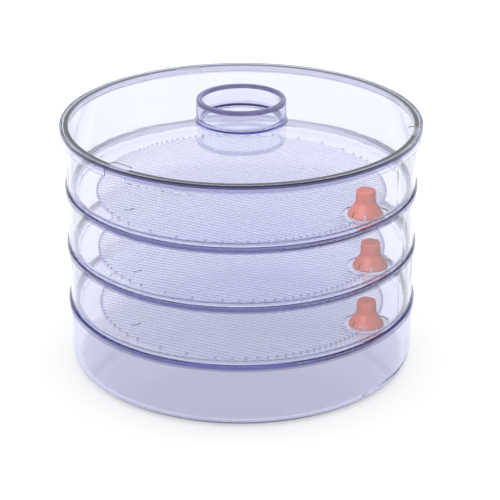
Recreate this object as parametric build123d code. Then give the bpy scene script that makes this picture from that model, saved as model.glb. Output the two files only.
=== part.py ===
from build123d import *
import math
import os

# A stacking seed sprouter: a catch tray, three growing trays with siphon caps, and a lid.
# Millimetres and degrees. +Z is up, the origin is the centre of the underside of the base tray,
# and -Y is the front. Azimuths are measured from +X, positive towards +Y.

# ---- Driving dimensions ----

# The stack
BASE_HEIGHT = 37.5
TIER_PITCH = 33.8
WALL_RADIUS = 97.2
WALL_THICKNESS = 2.0

# The bead round the top of every tray
BEAD_PROUD = 1.0
BEAD_HEIGHT = 3.6
BEAD_ROUNDING = 0.35

# Growing tray: the wall stands on the rim below, and the dished floor hangs inside that rim.
# From the wall inwards come a narrow ledge, the upright foot, a gentle slope and the flat floor.
LEDGE_TOP = 1.2
FOOT_CLEARANCE = 0.8
FOOT_THICKNESS = 2.0
FOOT_CORNER = 3.0
SLOPE_RISE = 1.7
FLOOR_RADIUS = 81.5
FLOOR_TOP = -4.6
FLOOR_THICKNESS = 1.7
FLOOR_BEND = 6.0

# Fine parallel ribs on the flat floor, in line with the siphon, each with a stud at both ends
RIB_PITCH = 3.2
RIB_WIDTH = 1.0
RIB_HEIGHT = 0.35
RIB_END_RADIUS = 80.4
STUD_RADIUS = 0.75
STUD_HEIGHT = 1.1

# Siphon: a hollow post in a shallow round sump that breaks into the slope, with a drip nozzle
SIPHON_RADIUS = 77.6
SUMP_RADIUS = 12.5
SUMP_DEPTH = 0.5
SUMP_WALL = 1.6
POST_RADIUS = 3.2
POST_HEIGHT = 11.7
NOZZLE_RADIUS = 2.8
NOZZLE_LENGTH = 2.4
DRAIN_RADIUS = 1.6

# Small raised moulding pip on each growing tray's floor
PIP_CENTRE_RADIUS = 69.2
PIP_AZIMUTH = -120.5
PIP_LENGTH = 5.6
PIP_WIDTH = 2.2
PIP_HEIGHT = 0.9

# Siphon cap
CAP_HEIGHT = 14.5
CAP_TOP_RADIUS = 5.2
CAP_NECK_RADIUS = 5.5
CAP_NECK_HEIGHT = 7.3
CAP_FLARE_RADIUS = 9.6
CAP_WALL = 1.1
CAP_RIB_COUNT = 3
CAP_RIB_WIDTH = 0.9
CAP_RIB_CLEARANCE = 0.3
SLIT_COUNT = 8
SLIT_WIDTH = 1.0
SLIT_HEIGHT = 3.4

# Base tray
BASE_WALL_GROWTH = 0.2
BASE_TAPER = 0.6
BASE_CORNER = 6.0
BASE_FLOOR = 2.2

# Lid
LID_RADIUS = 100.2
LID_PLATE = 1.4
LID_EDGE_ROUNDING = 0.35
LID_SKIRT_DEPTH = 5.1
LID_SKIRT_THICKNESS = 1.4
KNOB_BASE_RADIUS = 25.0
KNOB_TOP_RADIUS = 24.7
KNOB_HEIGHT = 12.5
KNOB_WALL = 1.7
KNOB_LIP_WIDTH = 3.1
KNOB_LIP_HEIGHT = 2.2
KNOB_FLOOR_CORNER = 3.0

# Three vents, each a pocket under the lid's plate and a channel down the inside of its skirt
VENT_COUNT = 3
VENT_FIRST_AZIMUTH = -131.0
VENT_WIDTH = 15.0
VENT_INNER_RADIUS = 92.0
VENT_DEPTH = 0.7
VENT_CORNER = 2.5
VENT_BRIDGE = 0.9

# How each growing tray, and the cap in it, is turned: name, siphon azimuth, azimuth of a cap slit
TIERS = [
    ("lower", -27.0, -9.7),
    ("middle", -24.2, 0.3),
    ("upper", -30.5, -5.0),
]


def turned(outline):
    """Solid of revolution about Z, from closed (radius, height, corner radius) points."""
    points = [(radius, height) for radius, height, corner in outline]
    corners = [corner for radius, height, corner in outline]
    with BuildPart() as body:
        with BuildSketch(Plane.XZ):
            with BuildLine():
                FilletPolyline(*points, radius=corners, close=True)
            make_face()
        revolve(axis=Axis.Z)
    return body.part


def rib_layout():
    """Sketch of the parallel floor ribs, clear of the slope and the sump."""
    count = 2 * int(RIB_END_RADIUS / RIB_PITCH) + 1
    with BuildSketch() as ribs:
        with GridLocations(0, RIB_PITCH, 1, count):
            Rectangle(2 * RIB_END_RADIUS, RIB_WIDTH)
        Circle(RIB_END_RADIUS, mode=Mode.INTERSECT)
        with Locations((SIPHON_RADIUS, 0)):
            Circle(SUMP_RADIUS, mode=Mode.SUBTRACT)
    return ribs.sketch


def stud_places():
    """Both ends of every floor rib, clear of the sump."""
    steps = int(RIB_END_RADIUS / RIB_PITCH)
    places = []
    for step in range(-steps, steps + 1):
        offset = step * RIB_PITCH
        along = math.sqrt(RIB_END_RADIUS**2 - offset**2)
        for x in (along, -along):
            if math.hypot(x - SIPHON_RADIUS, offset) > SUMP_RADIUS + 2 * STUD_RADIUS:
                places.append((x, offset))
    return places


def tray_shell():
    """Wall, rim bead, ledge, foot and dished floor of a growing tray, seated at height 0."""
    wall_inside = WALL_RADIUS - WALL_THICKNESS
    foot_outside = wall_inside - FOOT_CLEARANCE
    foot_inside = foot_outside - FOOT_THICKNESS
    bead_radius = WALL_RADIUS + BEAD_PROUD
    bead_bottom = TIER_PITCH - BEAD_HEIGHT
    underside = FLOOR_TOP - FLOOR_THICKNESS
    return turned([
        (0, underside, 0),
        (FLOOR_RADIUS, underside, FLOOR_BEND),
        (foot_outside, underside + SLOPE_RISE, FOOT_CORNER),
        (foot_outside, 0, 0),
        (WALL_RADIUS, 0, 0.4),
        (WALL_RADIUS, bead_bottom, 0.3),
        (bead_radius, bead_bottom, 0.4),
        (bead_radius, TIER_PITCH, BEAD_ROUNDING),
        (wall_inside, TIER_PITCH, 0.5),
        (wall_inside, LEDGE_TOP, 1.0),
        (foot_inside, LEDGE_TOP, 0.9),
        (foot_inside, FLOOR_TOP + SLOPE_RISE, FOOT_CORNER),
        (FLOOR_RADIUS, FLOOR_TOP, FLOOR_BEND),
        (0, FLOOR_TOP, 0),
    ])


def siphon_disc(radius, bottom, top):
    """Upright cylinder round the siphon's axis, between two heights."""
    with BuildPart() as disc:
        with BuildSketch(Plane.XY.offset(bottom)):
            with Locations((SIPHON_RADIUS, 0)):
                Circle(radius)
        extrude(amount=top - bottom)
    return disc.part


def growing_tray():
    """One growing tray with its siphon on the +X side, seated at height 0."""
    sump_floor = FLOOR_TOP - SUMP_DEPTH
    sump_underside = sump_floor - FLOOR_THICKNESS
    nozzle_bottom = sump_underside - NOZZLE_LENGTH
    rib_root = FLOOR_TOP - FLOOR_THICKNESS / 4
    with BuildPart() as tray:
        add(tray_shell())
        # The sump hangs a little lower than the floor, and its outer part cuts into the slope
        add(siphon_disc(SUMP_RADIUS + SUMP_WALL, sump_underside, FLOOR_TOP))
        add(siphon_disc(SUMP_RADIUS, sump_floor, LEDGE_TOP), mode=Mode.SUBTRACT)
        # Ribs, studs and pip start inside the floor, so that they join it all over
        with BuildSketch(Plane.XY.offset(rib_root)):
            add(rib_layout())
        extrude(amount=FLOOR_TOP + RIB_HEIGHT - rib_root)
        with BuildSketch(Plane.XY.offset(rib_root)):
            with Locations(*stud_places()):
                Circle(STUD_RADIUS)
        extrude(amount=FLOOR_TOP + STUD_HEIGHT - rib_root)
        with BuildSketch(Plane.XY.offset(rib_root)):
            with Locations(Rotation(0, 0, PIP_AZIMUTH)):
                with Locations((PIP_CENTRE_RADIUS, 0)):
                    SlotOverall(PIP_LENGTH, PIP_WIDTH)
        extrude(amount=FLOOR_TOP + PIP_HEIGHT - rib_root)
        # Post above the sump, drip nozzle below it, and the drain through both
        add(siphon_disc(POST_RADIUS, sump_underside, sump_floor + POST_HEIGHT))
        add(siphon_disc(NOZZLE_RADIUS, nozzle_bottom, sump_floor))
        add(
            siphon_disc(DRAIN_RADIUS, nozzle_bottom, sump_floor + POST_HEIGHT),
            mode=Mode.SUBTRACT,
        )
    return tray.part


def siphon_cap():
    """Bell-shaped cap with a slitted skirt, standing on height 0 round the Z axis."""
    bore_radius = CAP_TOP_RADIUS - CAP_WALL
    ceiling = CAP_HEIGHT - CAP_WALL
    rib_inner_radius = POST_RADIUS + CAP_RIB_CLEARANCE
    rib_depth = bore_radius - rib_inner_radius + CAP_WALL / 2
    rib_length = ceiling - CAP_NECK_HEIGHT
    with BuildPart() as cap:
        add(turned([
            (0, ceiling, 0),
            (bore_radius, ceiling, 0.5),
            (CAP_NECK_RADIUS - CAP_WALL, CAP_NECK_HEIGHT - 0.4, 1.5),
            (CAP_FLARE_RADIUS - CAP_WALL, 0.7, 0),
            (CAP_FLARE_RADIUS - CAP_WALL, 0, 0),
            (CAP_FLARE_RADIUS, 0, 0),
            (CAP_FLARE_RADIUS, 0.9, 0.5),
            (CAP_NECK_RADIUS, CAP_NECK_HEIGHT, 2.0),
            (CAP_TOP_RADIUS, CAP_HEIGHT, 1.0),
            (0, CAP_HEIGHT, 0),
        ]))
        # Ribs inside the bore keep the cap centred on its post and leave the water a way up
        with PolarLocations(rib_inner_radius + rib_depth / 2, CAP_RIB_COUNT):
            with Locations((0, 0, CAP_NECK_HEIGHT + rib_length / 2)):
                Box(rib_depth, CAP_RIB_WIDTH, rib_length)
        # Slits with round tops, open at the skirt's lower edge
        slit_reach = CAP_FLARE_RADIUS - CAP_NECK_RADIUS
        straight = SLIT_HEIGHT - SLIT_WIDTH / 2
        with PolarLocations(CAP_FLARE_RADIUS - slit_reach / 2 + 1, SLIT_COUNT):
            with Locations((0, 0, straight / 2)):
                Box(slit_reach, SLIT_WIDTH, straight, mode=Mode.SUBTRACT)
            with Locations((0, 0, straight)):
                Cylinder(
                    SLIT_WIDTH / 2, slit_reach, rotation=(0, 90, 0), mode=Mode.SUBTRACT
                )
    return cap.part


def base_tray():
    """Plain catch tray with a rounded lower corner and the same rim as the growing trays."""
    outside = WALL_RADIUS + BASE_WALL_GROWTH
    inside = WALL_RADIUS - WALL_THICKNESS
    bead_radius = outside + BEAD_PROUD
    bead_bottom = BASE_HEIGHT - BEAD_HEIGHT
    return turned([
        (0, 0, 0),
        (outside - BASE_TAPER, 0, BASE_CORNER),
        (outside, bead_bottom, 0.3),
        (bead_radius, bead_bottom, 0.4),
        (bead_radius, BASE_HEIGHT, BEAD_ROUNDING),
        (inside, BASE_HEIGHT, 0.5),
        (inside - BASE_TAPER, BASE_FLOOR, BASE_CORNER - WALL_THICKNESS),
        (0, BASE_FLOOR, 0),
    ])


def vents():
    """What the vents cut away; between pocket and channel, air passes over the rim's bead."""
    skirt_inside = LID_RADIUS - LID_SKIRT_THICKNESS
    pocket_length = skirt_inside - VENT_INNER_RADIUS
    channel_outside = skirt_inside + VENT_DEPTH
    channel_length = 2 * LID_SKIRT_THICKNESS
    with BuildPart() as cuts:
        with BuildSketch():
            with PolarLocations(
                VENT_INNER_RADIUS + pocket_length / 2,
                VENT_COUNT,
                start_angle=VENT_FIRST_AZIMUTH,
            ):
                RectangleRounded(pocket_length, VENT_WIDTH, VENT_CORNER)
        extrude(amount=VENT_DEPTH)
        with BuildSketch(Plane.XY.offset(-LID_SKIRT_DEPTH)):
            with PolarLocations(
                channel_outside - channel_length / 2,
                VENT_COUNT,
                start_angle=VENT_FIRST_AZIMUTH,
            ):
                Rectangle(channel_length, VENT_WIDTH)
            Circle(channel_outside, mode=Mode.INTERSECT)
        extrude(amount=LID_SKIRT_DEPTH - VENT_BRIDGE)
    return cuts.part


def lid():
    """Plate with a skirt, a lipped ring knob and vents; the plate's underside is at height 0."""
    skirt_inside = LID_RADIUS - LID_SKIRT_THICKNESS
    knob_top = LID_PLATE + KNOB_HEIGHT
    lip_inside = KNOB_TOP_RADIUS - KNOB_LIP_WIDTH
    knob_inside = KNOB_TOP_RADIUS - KNOB_WALL
    with BuildPart() as cover:
        add(turned([
            (0, 0, 0),
            (skirt_inside, 0, 0.4),
            (skirt_inside, -LID_SKIRT_DEPTH, 0.6),
            (LID_RADIUS, -LID_SKIRT_DEPTH, 0.6),
            (LID_RADIUS, LID_PLATE, LID_EDGE_ROUNDING),
            (KNOB_BASE_RADIUS, LID_PLATE, 0.8),
            (KNOB_TOP_RADIUS, knob_top, 0.8),
            (lip_inside, knob_top, 0.8),
            (lip_inside, knob_top - KNOB_LIP_HEIGHT, 0.6),
            (knob_inside, knob_top - KNOB_LIP_HEIGHT, 0.5),
            (knob_inside, LID_PLATE, KNOB_FLOOR_CORNER),
            (0, LID_PLATE, 0),
        ]))
        add(vents(), mode=Mode.SUBTRACT)
    return cover.part


def write_part(shape, name):
    """One STEP file per piece, named after its node."""
    shape.label = name
    export_step(shape, f"parts/{name}.step")


os.makedirs("parts", exist_ok=True)

write_part(base_tray(), "base_tray")

tray = growing_tray()
cap = siphon_cap()
for level, (tier, siphon_azimuth, slit_azimuth) in enumerate(TIERS):
    seat = BASE_HEIGHT + level * TIER_PITCH
    tray_place = Location((0, 0, seat), (0, 0, siphon_azimuth))
    write_part(tray.moved(tray_place), f"{tier}_tray")
    cap_place = tray_place * Location(
        (SIPHON_RADIUS, 0, FLOOR_TOP - SUMP_DEPTH), (0, 0, slit_azimuth - siphon_azimuth)
    )
    write_part(cap.moved(cap_place), f"{tier}_siphon_cap")

lid_seat = BASE_HEIGHT + len(TIERS) * TIER_PITCH
write_part(lid().moved(Location((0, 0, lid_seat))), "lid")
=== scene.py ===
import math

import bpy
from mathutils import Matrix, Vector


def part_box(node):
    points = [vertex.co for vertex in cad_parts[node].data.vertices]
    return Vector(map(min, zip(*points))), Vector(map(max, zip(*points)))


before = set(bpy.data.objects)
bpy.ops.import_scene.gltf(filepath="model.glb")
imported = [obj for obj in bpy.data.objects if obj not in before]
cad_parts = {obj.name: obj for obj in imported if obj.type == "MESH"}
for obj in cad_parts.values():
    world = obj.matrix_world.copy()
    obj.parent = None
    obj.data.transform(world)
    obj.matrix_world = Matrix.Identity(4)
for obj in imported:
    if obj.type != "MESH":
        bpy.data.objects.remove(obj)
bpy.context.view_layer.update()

# A stacking seed sprouter in clear lilac-blue plastic, with three red siphon caps.
# The pieces are the frame's own, at rest and in every pose. This script gives them their
# plastics and sets up the floor, the light and the camera. Lengths are in metres.

lid_low, lid_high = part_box("lid")
KNOB_HEIGHT = 0.0125
LID_TOP = lid_high.z - KNOB_HEIGHT

# The growing trays' flat floor has a fine moulded texture out to this radius
TEXTURED_RADIUS = 0.0813

# ---- Camera ----

CAMERA_TILT = 23.606
CAMERA_DISTANCE = 1.0832
CAMERA_ACROSS = 0.00482
CAMERA_DOWN = 0.0789
LENS = 137.2
SENSOR = 36.0


def add_camera():
    """The camera looks down at the front of the stack from just over a metre away."""
    data = bpy.data.cameras.new("camera")
    data.sensor_width = SENSOR
    data.lens = LENS
    data.clip_start = 0.01
    data.clip_end = 50.0
    camera = bpy.data.objects.new("camera", data)
    tilt = math.radians(CAMERA_TILT)
    towards = Vector((0, -math.cos(tilt), math.sin(tilt)))
    aim = Vector((CAMERA_ACROSS, 0, LID_TOP - CAMERA_DOWN))
    camera.location = aim + towards * CAMERA_DISTANCE
    camera.rotation_mode = "QUATERNION"
    camera.rotation_quaternion = (-towards).to_track_quat("-Z", "Y")
    bpy.context.scene.collection.objects.link(camera)
    bpy.context.scene.camera = camera


# ---- Building blocks for the materials ----

class Look:
    """A node material with short names for adding and linking nodes."""

    def __init__(self, name):
        self.material = bpy.data.materials.new(name)
        self.material.use_nodes = True
        self.tree = self.material.node_tree
        self.tree.nodes.clear()
        self.out = self.add("ShaderNodeOutputMaterial")
        self.place = self.add("ShaderNodeTexCoord").outputs["Object"]

    def add(self, kind, **settings):
        node = self.tree.nodes.new(kind)
        for name, value in settings.items():
            setattr(node, name, value)
        return node

    def link(self, source, target):
        self.tree.links.new(source, target)

    def math(self, operation, first, second=None, clamp=False):
        """A Math node; each input is a number or a socket."""
        node = self.add("ShaderNodeMath", operation=operation, use_clamp=clamp)
        for socket, value in zip(node.inputs, (first, second)):
            if isinstance(value, bpy.types.NodeSocket):
                self.link(value, socket)
            elif value is not None:
                socket.default_value = value
        return node.outputs["Value"]

    def ramp(self, value, low, high, to_low=0.0, to_high=1.0):
        """A smooth step from to_low at low, to to_high at high."""
        node = self.add("ShaderNodeMapRange", interpolation_type="SMOOTHSTEP")
        self.link(value, node.inputs["Value"])
        for name, number in (("From Min", low), ("From Max", high),
                             ("To Min", to_low), ("To Max", to_high)):
            node.inputs[name].default_value = number
        return node.outputs["Result"]

    def mix(self, factor, first, second):
        """A blend between two colours, each a colour or a socket."""
        node = self.add("ShaderNodeMix", data_type="RGBA")
        self.link(factor, node.inputs["Factor"])
        for name, value in (("A", first), ("B", second)):
            if isinstance(value, bpy.types.NodeSocket):
                self.link(value, node.inputs[name])
            else:
                node.inputs[name].default_value = value
        return node.outputs["Result"]

    def noise(self, scale, detail=3.0, stretch=(1, 1, 1), roughness=0.5):
        """Noise over the object, stretched along its axes."""
        mapping = self.add("ShaderNodeMapping")
        self.link(self.place, mapping.inputs["Vector"])
        mapping.inputs["Scale"].default_value = stretch
        node = self.add("ShaderNodeTexNoise")
        self.link(mapping.outputs["Vector"], node.inputs["Vector"])
        node.inputs["Scale"].default_value = scale
        node.inputs["Detail"].default_value = detail
        node.inputs["Roughness"].default_value = roughness
        return node.outputs["Fac"]

    def bump(self, height, distance, strength=1.0, under=None):
        """Bump of the given height range, on top of another bump if one is given."""
        node = self.add("ShaderNodeBump")
        node.inputs["Distance"].default_value = distance
        node.inputs["Strength"].default_value = strength
        self.link(height, node.inputs["Height"])
        if under is not None:
            self.link(under, node.inputs["Normal"])
        return node.outputs["Normal"]


# ---- Clear lilac-blue plastic ----

PLASTIC_IOR = 1.58
TINT = (0.14, 0.20, 0.76, 1)
BASE_TINT = (0.14, 0.20, 0.97, 1)
LID_TINT_DENSITY = 50.0
TRAY_TINT_DENSITY = 42.0
BASE_TINT_DENSITY = 52.0

# Roughness of the polished plastic, and how much marks and the floor's texture add to it
POLISHED = 0.012
SCRATCH_ROUGHNESS = 0.05
SMUDGE_ROUGHNESS = 0.03
FLOOR_ROUGHNESS = 0.035
GRAIN_ROUGHNESS = 0.05

# Depth of the moulding waves and of the floor's grain
WAVE_DEPTH = 0.00006
GRAIN_DEPTH = 0.00002

# How upright a face's normal is where the floor's texture starts, and where it is full
LEVEL_NORMALS = (0.90, 0.97)

# Zones of the lid painted darker, and by how much: painted shade on the outer edge, the vents'
# walls and the knob's lip, standing in for the dark lines that light makes in the clear plastic
# there. The plate and skirt are a little bluer and darker than the knob.
EDGE_SOFTNESS = 0.0001
LID_EDGE_RADIUS = 0.0995
LID_EDGE_HEIGHTS = (LID_TOP - 0.0021, LID_TOP - 0.0001)
# Painted shade: the lid's outer edge is painted dark navy, for the dark line that light makes along
# the clear edge.
LID_EDGE_PAINTED_SHADE = (0.02, 0.02, 0.14, 1)
POCKET_WALL_HEIGHTS = (LID_TOP - 0.0013, LID_TOP - 0.0008)
VENT_CHANNEL_RADII = (0.0990, 0.0994)
# Painted shade: the vents' pocket walls and the skirt's channels are painted dark, for the dark
# lines that light makes at their edges.
VENT_PAINTED_SHADE = (0.04, 0.04, 0.10, 1)
PLATE_ZONE_TOP = LID_TOP + 0.0008
PLATE_SHADE = (0.92, 0.93, 0.99, 1)
KNOB_LIP_HEIGHT = 0.0023
# Painted shade: the top of the knob's lip is painted dark grey-violet, for the dark line that light
# makes there.
LIP_PAINTED_SHADE = (0.22, 0.20, 0.33, 1)

# The same painted shade for the trays: the rim's bead, and the tops of the studs on the growing
# trays' floors, painted darker for the dark lines and dots that light makes there.
# The studs' band of heights comes again with each tier.
BEAD_INNER_RADIUS = 0.0975
# Painted shade: the rim's bead is painted darker, for the dark line that light makes along it.
RIM_PAINTED_SHADE = (0.40, 0.38, 0.50, 1)
TIER_PITCH = 0.0338
STUD_BAND_BOTTOM = -0.0002
STUD_BAND_HEIGHT = 0.0008
STUD_RING = (0.0794, 0.0813)
# Painted shade: the studs' tops are painted dark, for the dark dots that light makes at the ribs'
# ends.
STUD_PAINTED_SHADE = (0.25, 0.22, 0.45, 1)


def flow_marks(look):
    """The faint large waves that moulding leaves in a clear wall."""
    return look.bump(look.noise(55.0, detail=1.0), WAVE_DEPTH)


def handling_marks(look):
    """Roughness of the polished plastic with its hairline scratches and dull smudges."""
    scratches = look.ramp(look.noise(900.0, stretch=(1, 0.05, 1), detail=2.0), 0.60, 0.78)
    smudges = look.ramp(look.noise(38.0, detail=4.0, roughness=0.6), 0.45, 0.75)
    rise = look.math("MULTIPLY", scratches, SCRATCH_ROUGHNESS)
    haze = look.math("MULTIPLY", smudges, SMUDGE_ROUGHNESS)
    return look.math("ADD", look.math("ADD", rise, haze), POLISHED)


def height(look):
    """Height in the stack at rest."""
    split = look.add("ShaderNodeSeparateXYZ")
    look.link(look.place, split.inputs["Vector"])
    return split.outputs["Z"]


def axis_radius(look):
    """Distance from the stack's axis."""
    split = look.add("ShaderNodeSeparateXYZ")
    look.link(look.place, split.inputs["Vector"])
    x = split.outputs["X"]
    y = split.outputs["Y"]
    square = look.math("ADD", look.math("MULTIPLY", x, x), look.math("MULTIPLY", y, y))
    return look.math("SQRT", square)


def above(look, value, edge):
    """One where the value is over the edge, with a short soft step."""
    return look.ramp(value, edge - EDGE_SOFTNESS, edge + EDGE_SOFTNESS)


def between(look, value, low, high):
    """One where the value is between two edges, each a short soft step."""
    return look.math("SUBTRACT", above(look, value, low), above(look, value, high))


def lid_tint_and_painted_shades(look):
    """Painted shade: the lid's edge, its vents' walls and the knob's lip are painted darker than
    the rest; the plate and skirt are a little bluer than the knob.
    """
    z = height(look)
    radius = axis_radius(look)
    plate = look.math("SUBTRACT", 1.0, above(look, z, PLATE_ZONE_TOP))
    # Painted shade mask: the band round the lid's outer edge.
    edge = look.math("MULTIPLY", between(look, z, *LID_EDGE_HEIGHTS),
                     above(look, radius, LID_EDGE_RADIUS))
    # Painted shade mask: the top of the knob's lip.
    lip = above(look, z, LID_TOP + KNOB_HEIGHT - KNOB_LIP_HEIGHT)
    # Painted shade masks: the vents' pocket walls and the skirt's channels.
    pocket = look.math("MULTIPLY", between(look, z, *POCKET_WALL_HEIGHTS),
                       look.math("LESS_THAN", radius, VENT_CHANNEL_RADII[0]))
    channel = between(look, radius, *VENT_CHANNEL_RADII)
    return [(plate, PLATE_SHADE), (lip, LIP_PAINTED_SHADE), (pocket, VENT_PAINTED_SHADE),
            (channel, VENT_PAINTED_SHADE), (edge, LID_EDGE_PAINTED_SHADE)]


def rim_painted_shade(look):
    """Painted shade: the thick bead round a tray's rim is painted darker than its wall, for the
    dark line that light makes along it.
    """
    return [(above(look, axis_radius(look), BEAD_INNER_RADIUS), RIM_PAINTED_SHADE)]


def tray_painted_shades(look):
    """Painted shade on the bead, and on the small studs that stand in a ring at the ends of the
    floor's ribs.
    """
    # Painted shade mask: the studs' tops, in their band of heights and ring.
    turn = look.math("MODULO", look.math("SUBTRACT", height(look), STUD_BAND_BOTTOM), TIER_PITCH)
    low = look.math("LESS_THAN", turn, STUD_BAND_HEIGHT)
    radius = axis_radius(look)
    outside = look.math("GREATER_THAN", radius, STUD_RING[0])
    inside = look.math("LESS_THAN", radius, STUD_RING[1])
    studs = look.math("MULTIPLY", low, look.math("MULTIPLY", outside, inside))
    return rim_painted_shade(look) + [(studs, STUD_PAINTED_SHADE)]


def floor_mask(look):
    """One on the flat floor of a growing tray, top and underside, and nought elsewhere."""
    inside = look.ramp(axis_radius(look), TEXTURED_RADIUS - 0.0006, TEXTURED_RADIUS, 1.0, 0.0)
    facing = look.add("ShaderNodeSeparateXYZ")
    look.link(look.add("ShaderNodeNewGeometry").outputs["True Normal"], facing.inputs["Vector"])
    level = look.ramp(look.math("ABSOLUTE", facing.outputs["Z"]), *LEVEL_NORMALS)
    return look.math("MULTIPLY", inside, level)


def clear_plastic(name, tint, density, shades, textured_floor=False):
    """Clear tinted plastic with zones of painted shade; a growing tray's has a finely textured
    floor.
    """
    look = Look(name)
    shader = look.add("ShaderNodeBsdfPrincipled")
    white = look.add("ShaderNodeRGB")
    white.outputs["Color"].default_value = (1, 1, 1, 1)
    colour = white.outputs["Color"]
    for mask, shade in shades(look):
        colour = look.mix(mask, colour, shade)
    look.link(colour, shader.inputs["Base Color"])
    shader.inputs["IOR"].default_value = PLASTIC_IOR
    shader.inputs["Transmission Weight"].default_value = 1.0
    roughness = handling_marks(look)
    normal = flow_marks(look)
    if textured_floor:
        mask = floor_mask(look)
        grain = look.noise(2600.0, detail=2.0)
        dull = look.math("ADD", look.math("MULTIPLY", grain, GRAIN_ROUGHNESS), FLOOR_ROUGHNESS)
        roughness = look.math("ADD", roughness, look.math("MULTIPLY", mask, dull))
        normal = look.bump(look.math("MULTIPLY", grain, mask), GRAIN_DEPTH, under=normal)
    look.link(roughness, shader.inputs["Roughness"])
    look.link(normal, shader.inputs["Normal"])
    absorption = look.add("ShaderNodeVolumeAbsorption")
    absorption.inputs["Color"].default_value = tint
    absorption.inputs["Density"].default_value = density
    look.link(shader.outputs["BSDF"], look.out.inputs["Surface"])
    look.link(absorption.outputs["Volume"], look.out.inputs["Volume"])
    return look.material


# ---- Soft red plastic of the siphon caps ----

CAP_PALE = (0.98, 0.25, 0.18, 1)
CAP_DEEP = (0.92, 0.17, 0.12, 1)
CAP_ROUGHNESS = (0.36, 0.52)
CAP_GRAIN_DEPTH = 0.00003
CAP_GLOW_REACH = (1.0, 0.25, 0.15)
CAP_GLOW_SCALE = 0.003


def cap_plastic():
    """Satin, slightly cloudy red plastic that light soaks into a little."""
    look = Look("cap_plastic_look")
    shader = look.add("ShaderNodeBsdfPrincipled")
    cloud = look.mix(look.noise(180.0), CAP_PALE, CAP_DEEP)
    look.link(cloud, shader.inputs["Base Color"])
    grain = look.noise(1500.0, detail=3.0)
    look.link(look.ramp(grain, 0.2, 0.8, *CAP_ROUGHNESS), shader.inputs["Roughness"])
    look.link(look.bump(grain, CAP_GRAIN_DEPTH), shader.inputs["Normal"])
    shader.inputs["IOR"].default_value = 1.5
    shader.inputs["Subsurface Weight"].default_value = 0.5
    shader.inputs["Subsurface Radius"].default_value = CAP_GLOW_REACH
    shader.inputs["Subsurface Scale"].default_value = CAP_GLOW_SCALE
    look.link(shader.outputs["BSDF"], look.out.inputs["Surface"])
    return look.material


# ---- Floor and light ----

FLOOR_HALF = 6.0
FLOOR_DROP = 0.0004
PAPER_PALE = (0.74, 0.74, 0.74, 1)
PAPER_DEEP = (0.70, 0.70, 0.70, 1)
PAPER_GLOW = 0.46


def table_paper():
    """White paper lit evenly from all round, so that it keeps most of its light in shade."""
    look = Look("table_paper")
    shader = look.add("ShaderNodeBsdfPrincipled")
    tone = look.mix(look.noise(700.0), PAPER_DEEP, PAPER_PALE)
    look.link(tone, shader.inputs["Base Color"])
    shader.inputs["Roughness"].default_value = 1.0
    shader.inputs["Specular IOR Level"].default_value = 0.0
    shader.inputs["Emission Color"].default_value = (0.985, 0.99, 1.0, 1)
    shader.inputs["Emission Strength"].default_value = PAPER_GLOW
    look.link(shader.outputs["BSDF"], look.out.inputs["Surface"])
    return look.material


def add_floor():
    """A wide sheet just under the base tray."""
    mesh = bpy.data.meshes.new("floor")
    corners = [(x * FLOOR_HALF, y * FLOOR_HALF, -FLOOR_DROP)
               for x, y in ((-1, -1), (1, -1), (1, 1), (-1, 1))]
    mesh.from_pydata(corners, [], [(0, 1, 2, 3)])
    floor = bpy.data.objects.new("floor", mesh)
    floor.data.materials.append(table_paper())
    bpy.context.scene.collection.objects.link(floor)


# The sky's brightness, and where its dark strip fades in: towards the front, and downwards
SKY_FRONT = 0.2
SKY_BACK = 1.09
STRIP_FRONT = (-0.25, -0.85)
STRIP_LOW = (0.55, 0.30)


def smooth_step(tree, source, edges):
    """Nought at the first edge to one at the second, as a smooth step."""
    node = tree.nodes.new("ShaderNodeMapRange")
    node.interpolation_type = "SMOOTHSTEP"
    tree.links.new(source, node.inputs["Value"])
    node.inputs["From Min"].default_value = edges[0]
    node.inputs["From Max"].default_value = edges[1]
    return node.outputs["Result"]


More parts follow.
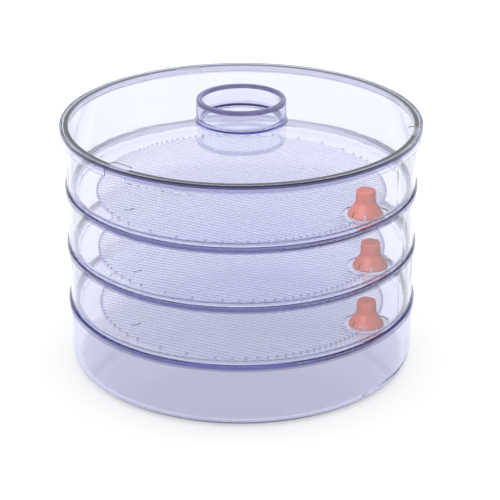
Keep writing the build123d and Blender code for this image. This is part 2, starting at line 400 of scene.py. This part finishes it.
def add_light():
    """A white studio, with a dark strip low in front that the edges of the plastic mirror."""
    world = bpy.data.worlds.new("studio")
    bpy.context.scene.world = world
    world.use_nodes = True
    tree = world.node_tree
    nodes = tree.nodes
    links = tree.links
    background = nodes["Background"]
    direction = nodes.new("ShaderNodeTexCoord").outputs["Generated"]
    split = nodes.new("ShaderNodeSeparateXYZ")
    links.new(direction, split.inputs["Vector"])
    strip = nodes.new("ShaderNodeMath")
    strip.operation = "MULTIPLY"
    links.new(smooth_step(tree, split.outputs["Y"], STRIP_FRONT), strip.inputs[0])
    links.new(smooth_step(tree, split.outputs["Z"], STRIP_LOW), strip.inputs[1])
    fade = nodes.new("ShaderNodeMapRange")
    links.new(strip.outputs["Value"], fade.inputs["Value"])
    fade.inputs["To Min"].default_value = SKY_BACK
    fade.inputs["To Max"].default_value = SKY_FRONT
    links.new(fade.outputs["Result"], background.inputs["Strength"])
    background.inputs["Color"].default_value = (1, 1, 1, 1)


CAP_LIGHT_POWER = 8.5
CAP_LIGHT_SIZE = 0.6
CAP_LIGHT_PLACE = (-0.45, -0.8, 0.75)


def light_caps(caps):
    """A soft box up in front that lights only the caps, as if the clear walls let all of it by."""
    lit = bpy.data.collections.new("caps")
    for cap in caps:
        lit.objects.link(cap)
    data = bpy.data.lights.new("cap_light", "AREA")
    data.energy = CAP_LIGHT_POWER
    data.size = CAP_LIGHT_SIZE
    light = bpy.data.objects.new("cap_light", data)
    light.location = CAP_LIGHT_PLACE
    light.rotation_mode = "QUATERNION"
    light.rotation_quaternion = Vector(CAP_LIGHT_PLACE).to_track_quat("Z", "Y")
    light.light_linking.receiver_collection = lit
    light.light_linking.blocker_collection = lit
    bpy.context.scene.collection.objects.link(light)


BOUNCES = 48
DIFFUSE_BOUNCES = 4


def set_light_paths():
    """Enough bounces for light to cross the whole stack, and plain display of its brightness."""
    scene = bpy.context.scene
    scene.view_settings.view_transform = "Standard"
    scene.cycles.max_bounces = BOUNCES
    scene.cycles.transmission_bounces = BOUNCES
    scene.cycles.glossy_bounces = BOUNCES
    scene.cycles.diffuse_bounces = DIFFUSE_BOUNCES


# ---- Put it together ----

add_camera()
tray_look = clear_plastic("tray_plastic", TINT, TRAY_TINT_DENSITY, tray_painted_shades, textured_floor=True)
lid_look = clear_plastic("lid_plastic", TINT, LID_TINT_DENSITY, lid_tint_and_painted_shades)
base_look = clear_plastic("base_plastic", BASE_TINT, BASE_TINT_DENSITY, rim_painted_shade)
cap_look = cap_plastic()
for name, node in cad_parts.items():
    if name.endswith("_siphon_cap"):
        look = cap_look
    elif name == "lid":
        look = lid_look
    elif name == "base_tray":
        look = base_look
    else:
        look = tray_look
    for slot in node.material_slots:
        slot.material = look
add_floor()
add_light()
light_caps([node for name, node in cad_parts.items() if name.endswith("_siphon_cap")])
set_light_paths()
